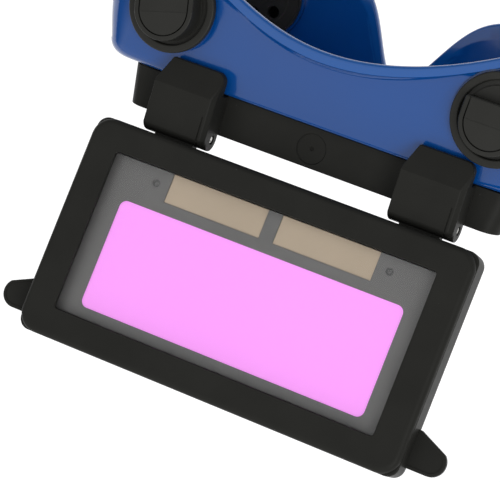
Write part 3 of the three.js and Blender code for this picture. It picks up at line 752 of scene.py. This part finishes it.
def hinge_pin(side):
    node = f"hinge_pin_{side}"
    low, high = node_box(node)
    radius = (high.z - low.z) / 2
    half = (high.x - low.x) / 2
    end = [(radius - 0.35, -half), (radius, -half + 0.35), (radius, half - 0.35), (radius - 0.35, half)]
    profile = [(0, -half + 0.15), (0.45, -half + 0.1), (0.6, -half), *end, (0.6, half), (0.45, half - 0.1),
               (0, half - 0.15)]
    centre = (low + high) / 2
    placed = Matrix.Translation(centre) @ Matrix.Rotation(math.pi / 2, 4, "Y")
    pin = lathe(f"pin_{side}", profile, 48)
    return present(finish_mesh(pin, placed), "goggle_body", "steel", STEEL, node)


# ---------- vents ----------

def vent_base(corner):
    under, floor, sleeve, bore = -7.4, -5.8, 11.4, 9.9
    hole_circle, hole_radius = 5.8, 2.0
    flange, top, dish = 12.6, -0.3, 0.35
    profile = [(0, under), (8.4, under), (8.8, under + dish), (11.9, under + dish), (12.3, under)]
    profile += [(flange, under + 0.3), (flange, floor), (sleeve, floor), (sleeve, top), (bore, top)]
    profile += [(bore, floor), (0, floor)]
    base = lathe(f"vent_plug_{corner}", profile, 96)
    holes = []
    for i in range(5):
        angle = i * 2 * math.pi / 5
        at = Matrix.Translation((hole_circle * math.cos(angle), hole_circle * math.sin(angle), 0))
        holes.append(disc("hole", hole_radius, under - 1, floor + 1, at, 24))
    cut(base, *holes)
    placed = vent_frame(corner)
    return present(finish_mesh(base, placed), "goggle_body", "vent_black", VENT_BLACK, f"vent_base_{corner}")


def hood_outline(radius, rear):
    forward = -0.8
    return [(radius, rear), *arc((0, forward), radius, 0, -180, 40), (-radius, rear)]


def vent_cap(corner):
    """A turned flange with a raised lip, under a hood that is round in front and open behind."""
    flange, lip, plate, spigot = 13.4, 2.2, 1.6, 9.6
    radius, wall, top, rear, crease, drop = 9.1, 1.3, 8.0, 4.6, -1.5, 1.0
    panel, groove = 7.75, 0.4
    channel = 0.75
    outer = [(flange - 0.25, 0.3), (flange, 0.55), *arc((flange - 0.6, lip - 0.6), 0.6, 0, 90, 5)]
    inner = [*arc((flange - 1.9, lip - 0.45), 0.45, 90, 180, 4), (flange - 2.5, channel)]
    inner += [(radius + 0.5, channel), (radius + 0.3, plate)]
    cap = lathe(f"vent_hood_{corner}", [(0, 0.3), *outer, *inner, (0, plate)], 144)
    hood = prism("hood", hood_outline(radius, rear), 1.0, top, "Z")
    fall = drop / (rear - crease)
    slope = prism("slope", [(crease, top), (rear + 3, top - fall * (rear + 3 - crease)), (rear + 3, top + 2),
                            (crease, top + 2)], -radius - 1, radius + 1, "X")
    cut(hood, slope)
    soften(hood, 0.45, 4)
    ring = prism("ring", hood_outline(panel, rear + 1), top - drop - 0.35, top + 1, "Z")
    core = prism("core", hood_outline(panel - groove, rear + 2), top - drop - 1, top + 2, "Z")
    line = prism("line", [(crease - 0.12, top - 0.12), (crease + 0.12, top - 0.12), (crease + 0.12, top + 1),
                          (crease - 0.12, top + 1)], groove - panel, panel - groove, "X")
    cut(hood, cut(ring, core), line)
    skirt = disc("skirt", spigot, -VENT_SKIRT, 1.0)
    hollow = prism("hollow", hood_outline(radius - wall, rear - 0.8), -6, top - 3.2, "Z")
    mouth = prism("mouth", hood_outline(radius - wall, rear + 4), plate + 0.4, top - 3.2, "Z")
    fuse(cap, hood, skirt)
    cut(cap, hollow, mouth)
    clean(cap)
    twist = math.radians(VENT_TWISTS.get(corner, 0))
    placed = vent_frame(corner) @ Matrix.Rotation(twist, 4, "Z")
    body = f"vent_{corner}"
    return present(finish_mesh(cap, placed, 34), body, "vent_black", VENT_BLACK, f"vent_cap_{corner}")


# ---------- lift front ----------

def lift_piece(obj, slot, finish, *nodes, angle=38):
    return present(finish_mesh(obj, LIFT, angle), "lift_front", slot, finish, *nodes)


WINDOW_HALF_X, WINDOW_HALF_Z = 50.6, 24.2


def front_bezel():
    low, high = node_box("lift_front_bezel", LIFT)
    middle = (low.z + high.z) / 2
    outline = box_outline((low.x, low.z), (high.x, high.z), 6, 14)
    body = prism("front_bezel", outline, low.y, high.y, "Y")
    round_where(body, lambda co: co.y < low.y + 0.01, 1.9, 8)
    wall, lip = 2.0, 1.6
    inside = prism("inside", box_outline((low.x + wall, low.z + wall), (high.x - wall, high.z - wall), 4),
                   low.y + lip, high.y + 1, "Y")
    window = prism("window", rounded_rect(WINDOW_HALF_X, WINDOW_HALF_Z, 1, middle), low.y - 1, high.y, "Y")
    cut(body, inside, window)
    soften(body, 0.22, 2, 60)
    return lift_piece(body, "black_plastic", BLACK, "lift_front_bezel")


def lift_tab(side):
    """A finger tab with a raised edge, low against the frame's side."""
    root, tip, z, radius, shoulder, rise = 58.0, 66.5, -62.2, 4.3, 61.0, 7.0
    front, back = -2.3, 0.0

    def outline(inset):
        size = radius - inset
        end = [(side * x, height) for x, height in arc((tip, z), size, -90, 45, 14)]
        upper = z + rise - inset
        return [(side * root, z - size), *end, (side * shoulder, upper), (side * root, upper)]

    tab = prism("tab", outline(0), front, back, "Y")
    soften(tab, 0.45, 3)
    dish = prism("dish", outline(0.9), front - 1, front + 0.25, "Y")
    soften(dish, 0.15, 2)
    return cut(tab, dish)


def knuckle(x):
    radius, half = 3.3, 6.2
    barrel = rod_x("barrel", radius, x - half, x + half, 0, 0, 64)
    soften(barrel, 0.3, 2)
    arm = prism("arm", box_outline((-radius, -5.6), (0.5, -0.5), 0.3, 3), x - half, x + half, "X")
    return fuse(barrel, arm)


def back_frame():
    low, high = node_box("lift_front_back_frame", LIFT)
    bezel_low, bezel_high = node_box("lift_front_bezel", LIFT)
    filter_low, filter_high = node_box("outer_cover_lens", LIFT)
    middle = (bezel_low.z + bezel_high.z) / 2
    flange_front, gap = -8.1, 0.3
    back = 0.5
    outline = box_outline((bezel_low.x, bezel_low.z), (bezel_high.x, bezel_high.z), 3.5)
    body = prism("back_frame", outline, flange_front, back, "Y")
    soften(body, 0.4, 3)
    cavity = [(filter_low.x - gap, filter_low.z - gap), (filter_high.x + gap, filter_high.z + gap)]
    sleeve = prism("sleeve", box_outline((cavity[0][0] - 1.7, cavity[0][1] - 1.7),
                                         (cavity[1][0] + 1.7, cavity[1][1] + 1.7), 2),
                   filter_low.y, flange_front + 0.4, "Y")
    pocket = prism("pocket", box_outline(*cavity, 1), bezel_low.y, back - 1.2, "Y")
    window_outline = rounded_rect(WINDOW_HALF_X, WINDOW_HALF_Z, 1, middle)
    window = prism("window", window_outline, low.y - 1, high.y + 1, "Y")
    fuse(body, sleeve, lift_tab(-1), lift_tab(1))
    cut(body, pocket, window)
    pins = [node_box(f"hinge_pin_{side}") for side in SIDES]
    centres = [(pin_low.x + pin_high.x) / 2 for pin_low, pin_high in pins]
    fuse(body, *[knuckle(x) for x in centres])
    cut(body, *[rod_x("bore", PIN_BORE, x - 8, x + 8, 0, 0) for x in centres])
    return lift_piece(body, "black_plastic", BLACK, "lift_front_back_frame")


def pane(node, name, slot, finish, radius=0.8):
    low, high = node_box(node, LIFT)
    plate = prism(name, box_outline((low.x, low.z), (high.x, high.z), radius), low.y, high.y, "Y")
    soften(plate, 0.15, 2)
    return lift_piece(plate, slot, finish, node)


def filter_print():
    """The grey print behind the filter's glass, open over the viewing area, the cells and the sensors."""
    low, high = node_box("filter_glass", LIFT)
    shutter_low, shutter_high = node_box("lcd_shutter", LIFT)
    hidden = 1.0
    behind, thickness = 0.02, 0.1
    sheet = prism("filter_print", box_outline((low.x, low.z), (high.x, high.z), 0.8),
                  high.y + behind, high.y + behind + thickness, "Y")
    view = box_outline((shutter_low.x + hidden, shutter_low.z + hidden),
                       (shutter_high.x - hidden, shutter_high.z - hidden), 2.2)
    openings = [prism("view", view, high.y - 1, high.y + 1, "Y")]
    for side in SIDES:
        cell_low, cell_high = node_box(f"solar_cell_{side}", LIFT)
        hole = box_outline((cell_low.x, cell_low.z), (cell_high.x, cell_high.z + 2), 0.3)
        openings.append(prism("cell", hole, high.y - 1, high.y + 1, "Y"))
        sensor_low, sensor_high = node_box(f"arc_sensor_{side}", LIFT)
        radius = (sensor_high.x - sensor_low.x) / 2
        centre = ((sensor_low.x + sensor_high.x) / 2, (sensor_low.z + sensor_high.z) / 2)
        openings.append(prism("sensor", arc(centre, radius, 0, 352.5, 47), high.y - 1, high.y + 1, "Y"))
    cut(sheet, *openings)
    return lift_piece(sheet, "filter_grey", PRINT)


def arc_sensor(side):
    """A small domed sensor with a rim, behind its hole in the print."""
    node = f"arc_sensor_{side}"
    low, high = node_box(node, LIFT)
    radius, depth = (high.x - low.x) / 2, high.y - low.y
    profile = [(0, 0), (radius, 0), (radius, depth), (radius - 0.3, depth), (radius - 0.45, depth - 0.25),
               (0.6, depth - 0.2), (0, depth - 0.12)]
    centre = Matrix.Translation(((low.x + high.x) / 2, high.y, (low.z + high.z) / 2))
    sensor = lathe(f"sensor_{side}", profile, 40, centre @ Matrix.Rotation(math.pi / 2, 4, "X"))
    return lift_piece(sensor, "sensor_dark", SENSOR, node)


def lift_front():
    front_bezel()
    back_frame()
    pane("outer_cover_lens", "outer_cover", "clear_plastic", CLEAR)
    pane("inner_cover_lens", "inner_cover", "clear_plastic", CLEAR)
    pane("filter_glass", "filter_pane_glass", "filter_glass", GLASS)
    pane("lcd_shutter", "shutter_plate", "shutter_lilac", SHUTTER)
    filter_print()
    for side in SIDES:
        pane(f"solar_cell_{side}", f"cell_{side}", "solar_cell", CELL, 0.2)
        arc_sensor(side)


# ---------- headband ----------

STRAP_X, STRAP_HALF_WIDTH, STRAP_THICKNESS = 86.0, 12.5, 1.6
STITCH_START, STITCH_END = 51.0, 54.4
STRAP_TAPER = 2.6


def strap_side():
    """The strap's middle line on the +X side, from its sewn end, round the clip's bar, to the head's turn."""
    clip_low, clip_high = node_box("strap_clip_right")
    reach = 0.3 + STRAP_THICKNESS / 2
    inner, outer = clip_low.x - reach, clip_high.x + reach
    front, bend = 45.3 - reach, 1.9
    under, over = STRAP_X - STRAP_THICKNESS / 2, STRAP_X + STRAP_THICKNESS / 2
    line = [(under, STITCH_END), (under, STITCH_START)]
    line += ease((under, STITCH_START), (inner, clip_high.y), 8)
    line += arc((inner + bend, front + bend), bend, 180, 270, 8)
    line += arc((outer - bend, front + bend), bend, 270, 360, 8)
    line.append((outer, clip_high.y))
    line += ease((outer, clip_high.y), (over, STITCH_START), 8)
    line.append((over, STITCH_END))
    line += ease((over, STITCH_END), (STRAP_X, STITCH_END + STRAP_TAPER), 8)
    return line


def ease(start, end, steps):
    """Points that leave and arrive along Y, after the start."""
    points = []
    for i in range(1, steps + 1):
        share = i / steps
        points.append((lerp(start[0], end[0], smoothstep(share, 0, 1)), lerp(start[1], end[1], share)))
    return points


def strap_line():
    side = strap_side()
    back = node_box("headband_strap")[1].y
    turn = 120.0
    depth = back - STRAP_THICKNESS / 2 - turn
    straight = [(STRAP_X, lerp(side[-1][1], turn, i / 12)) for i in range(1, 12)]
    head = [(STRAP_X * math.cos(a), turn + depth * math.sin(a)) for a in
            [math.pi * i / 72 for i in range(73)]]
    right = side + straight
    return right + head + [(-x, y) for x, y in reversed(right)]


def ribbon(name, line, half_width, thickness):
    """A flat band along a line in X and Y, upright in Z, with rounded edges and a UV map in mm."""
    section = box_outline((-thickness / 2, -half_width), (thickness / 2, half_width), 0.6, 3)
    bm = bmesh.new()
    uv = bm.loops.layers.uv.new("strap")
    rows, lengths, run = [], [], 0.0
    for i, point in enumerate(line):
        before, after = Vector(line[max(i - 1, 0)]), Vector(line[min(i + 1, len(line) - 1)])
        along = (after - before).normalized()
        out = Vector((along.y, -along.x))
        run += (Vector(point) - Vector(line[i - 1])).length if i else 0.0
        lengths.append(run)
        rows.append([bm.verts.new((point[0] + out.x * u, point[1] + out.y * u, v)) for u, v in section])
    for i in range(len(rows) - 1):
        for j in range(len(section)):
            k = (j + 1) % len(section)
            face = bm.faces.new((rows[i][j], rows[i][k], rows[i + 1][k], rows[i + 1][j]))
            for loop, row in zip(face.loops, (i, i, i + 1, i + 1)):
                loop[uv].uv = (lengths[row], loop.vert.co.z)
    for end in (rows[0], rows[-1]):
        face = bm.faces.new(end)
        for loop in face.loops:
            loop[uv].uv = (loop.vert.co.x, loop.vert.co.z)
    return object_from(name, bm)


def headband_strap():
    strap = ribbon("strap_webbing", strap_line(), STRAP_HALF_WIDTH, STRAP_THICKNESS)
    finish_mesh(strap, angle=60)
    return present(strap, "headband", "elastic_black", ELASTIC, "headband_strap")


def stitches(side):
    """A sewn box through both layers of the strap: short threads lying on the outer face."""
    face = STRAP_X + STRAP_THICKNESS
    half, pitch = 10.5, 1.75
    seats = []
    count = round(2 * half / pitch)
    for y in (STITCH_START + 0.5, STITCH_END - 0.8):
        seats += [(y, -half + pitch * (i + 0.5), "Z") for i in range(count)]
    for z in (-half, half):
        seats += [(lerp(STITCH_START + 0.9, STITCH_END - 1.2, share), z, "Y") for share in (0.15, 0.5, 0.85)]
    bm = bmesh.new()
    for y, z, along in seats:
        long = (0.22, 0.2, 0.66) if along == "Z" else (0.22, 0.5, 0.2)
        made = bmesh.ops.create_icosphere(bm, subdivisions=2, radius=1.0)["verts"]
        shape = Matrix.Translation((side * face, y, z)) @ Matrix.Diagonal((*long, 1))
        bmesh.ops.transform(bm, matrix=shape, verts=made)
    name = "stitches_left" if side < 0 else "stitches_right"
    sewn = finish_mesh(object_from(name, bm), angle=80)
    return present(sewn, "headband", "elastic_black", THREAD)


def strap_clip(side):
    node = f"strap_clip_{side}"
    low, high = node_box(node)
    eye, slot_front, bar, slot_half = 8.6, 39.5, 45.3, 13.3
    head = slot_front - 1.5
    outline = [(high.y, low.z), (high.y, high.z), (head, high.z), (STUD_Y, eye)]
    outline += arc((STUD_Y, 0), eye, 90, 270, 32)[1:]
    outline.append((head, low.z))
    clip = prism(f"clip_{side}", outline, low.x, high.x, "X")
    round_where(clip, lambda co: co.y > head - 1, 1.6, 4)
    soften(clip, 0.4, 3)
    slot_outline = box_outline((slot_front, -slot_half), (bar, slot_half), 0.8)
    slot = prism("slot", slot_outline, low.x - 1, high.x + 1, "X")
    eyelet = rod_x("eyelet", STUD_BORE, low.x - 1, high.x + 1, STUD_Y, 0)
    face = high.x if SIDES[side] > 0 else low.x
    dish_outline = [(head - 1.8, -11.5), (head - 1.8, 11.5), (STUD_Y + 9.5, 6.2), (STUD_Y + 9.5, -6.2)]
    depth = 0.5
    dish = prism("dish", dish_outline, face - depth, face + depth, "X")
    soften(dish, 0.3, 2)
    cut(clip, slot, eyelet, dish)
    clean(clip, 0.02)
    return present(finish_mesh(clip), "headband", "black_plastic", BLACK, node)


def strap_stud(side):
    """A push stud: a shaft in the shell's boss and a domed head with a dimple."""
    node = f"strap_stud_{side}"
    low, high = node_box(node)
    reach = high.x - low.x
    head_radius, shaft, head_depth = (high.z - low.z) / 2, 2.0, 1.8
    crown = [(head_radius * math.cos(a), reach - 0.9 + 0.9 * math.sin(a)) for a in
             [math.radians(90 * i / 8) for i in range(9)]]
    under_head = reach - head_depth
    profile = [(0, 0), (shaft - 0.3, 0), (shaft, 0.3), (shaft, under_head), (head_radius, under_head)]
    profile += [*crown[:7], (1.6, reach - 0.02), (1.2, reach - 0.35), (0, reach - 0.5)]
    sign = SIDES[side]
    root = low.x if sign > 0 else high.x
    placed = Matrix.Translation((root, STUD_Y, 0)) @ Matrix.Rotation(sign * math.pi / 2, 4, "Y")
    stud = lathe(f"stud_{side}", profile, 64)
    return present(finish_mesh(stud, placed), "goggle_body", "black_plastic", BLACK, node)


def strap_slider():
    low, high = node_box("strap_slider")
    middle_x, middle_y = (low.x + high.x) / 2, (low.y + high.y) / 2
    room, slot_half, slot_width = STRAP_THICKNESS / 2 + 0.3, 13.1, 2.2
    block = prism("slider", box_outline((low.y, low.z), (high.y, high.z), 2.5), low.x, high.x, "X")
    soften(block, 0.7, 4)
    way_outline = box_outline((middle_x - room, -slot_half), (middle_x + room, slot_half), 0.4)
    way = prism("way", way_outline, low.y - 1, high.y + 1, "Y")
    windows = []
    for step in (-1, 1):
        centre = middle_y + step * (high.y - low.y) / 4
        outline = box_outline((centre - slot_width, -slot_half), (centre + slot_width, slot_half), 0.8)
        windows.append(prism("window", outline, middle_x, high.x + 1, "X"))
    cut(block, way, *windows)
    return present(finish_mesh(block), "slider", "black_plastic", BLACK, "strap_slider")


# ---------- the CAD nodes that stay ----------

def dress(node, finish):
    data = frame["nodes"][node].data
    data.materials.clear()
    data.materials.append(finish)


def inner_parts():
    dress("filter_housing", HOUSING_GREY)
    dress("circuit_board", BOARD)
    for side in SIDES:
        dress(f"coin_cell_{side}", BATTERY)


# ---------- studio ----------

def floor():
    low = Vector(CAD_BOX[0])
    drop, half = 0.092, 9.0
    bm = bmesh.new()
    corners = [(-half, -half), (half, -half), (half, half), (-half, half)]
    bm.faces.new([bm.verts.new((x, y, low.z - drop)) for x, y in corners])
    plane = object_from("floor", bm)
    made, n, shader = material("pale_floor", Roughness=0.9, Specular_IOR_Level=0.0)
    tone = n.mix(n.noise(3.0, 2.0), rgb(0.24, 0.24, 0.24), rgb(0.26, 0.26, 0.26))
    shader.inputs["Emission Color"].default_value = rgb(1, 1, 1)
    shader.inputs["Emission Strength"].default_value = 0.92
    link(n, shader, Base_Color=tone)
    plane.data.materials.append(made)


def sky():
    """A white dome, brightest overhead and to the front, and dimmer behind and low on the -X side."""
    world = bpy.data.worlds.new("studio")
    bpy.context.scene.world = world
    world.use_nodes = True
    n = Nodes(world.node_tree)
    direction = n.add("ShaderNodeTexCoord").outputs["Generated"]
    toward = Vector((-0.10, -0.35, 0.93)).normalized()
    product = n.add("ShaderNodeVectorMath", {0: direction, 1: toward}, operation="DOT_PRODUCT")
    facing = product.outputs["Value"]
    ramp = n.add("ShaderNodeValToRGB", {0: facing})
    ramp.color_ramp.interpolation = "EASE"
    ramp.color_ramp.elements[0].position = 0.08
    ramp.color_ramp.elements[0].color = rgb(0.16, 0.16, 0.165)
    ramp.color_ramp.elements[1].position = 0.58
    ramp.color_ramp.elements[1].color = rgb(1, 1, 1)
    sideways = n.add("ShaderNodeSeparateXYZ", {0: direction}).outputs["X"]
    dim, full = 0.25, 0.95
    strength = n.spread(sideways, dim, full, -0.95, -0.75)
    background = world.node_tree.nodes["Background"]
    world.node_tree.links.new(ramp.outputs["Color"], background.inputs["Color"])
    world.node_tree.links.new(strength, background.inputs["Strength"])


def softbox(name, place, aim, size, power):
    light = bpy.data.lights.new(name, "AREA")
    light.shape = "RECTANGLE"
    light.size, light.size_y = size
    light.energy = power
    lamp = bpy.data.objects.new(name, light)
    lamp.location = place
    lamp.rotation_euler = (Vector(aim) - Vector(place)).to_track_quat("-Z", "Y").to_euler()
    bpy.context.scene.collection.objects.link(lamp)


def camera():
    """High above and to the wearer's left, rolled so that the top bar runs down to the right."""
    data = bpy.data.cameras.new("camera")
    data.sensor_width = 36
    data.lens = 157.25
    data.clip_start, data.clip_end = 0.05, 20
    eye = bpy.data.objects.new("camera", data)
    bpy.context.scene.collection.objects.link(eye)
    right = Vector((0.8873, 0.2856, -0.3621))
    behind = Vector((0.3119, 0.2066, 0.9274))
    up = behind.cross(right).normalized()
    right = up.cross(behind).normalized()
    place = Vector((188.68, 71.3, 623.02)) * MM
    eye.matrix_world = Matrix((right, up, behind.normalized())).transposed().to_4x4()
    eye.matrix_world.translation = place
    bpy.context.scene.camera = eye


def studio():
    sky()
    floor()
    softbox("key", (0.85, -0.2, 1.15), (0, 0, 0), (0.6, 0.6), 7.0)
    camera()
    bpy.context.scene.view_settings.view_transform = "Standard"


# ---------- assembly ----------

goggle_shell()
front_retainer()
clear_lens()
for hand in SIDES:
    bracket(hand)
    hinge_pin(hand)
    strap_clip(hand)
    strap_stud(hand)
    stitches(SIDES[hand])
for place in CORNERS:
    vent_base(place)
    vent_cap(place)
lift_front()
inner_parts()
headband_strap()
strap_slider()
studio()
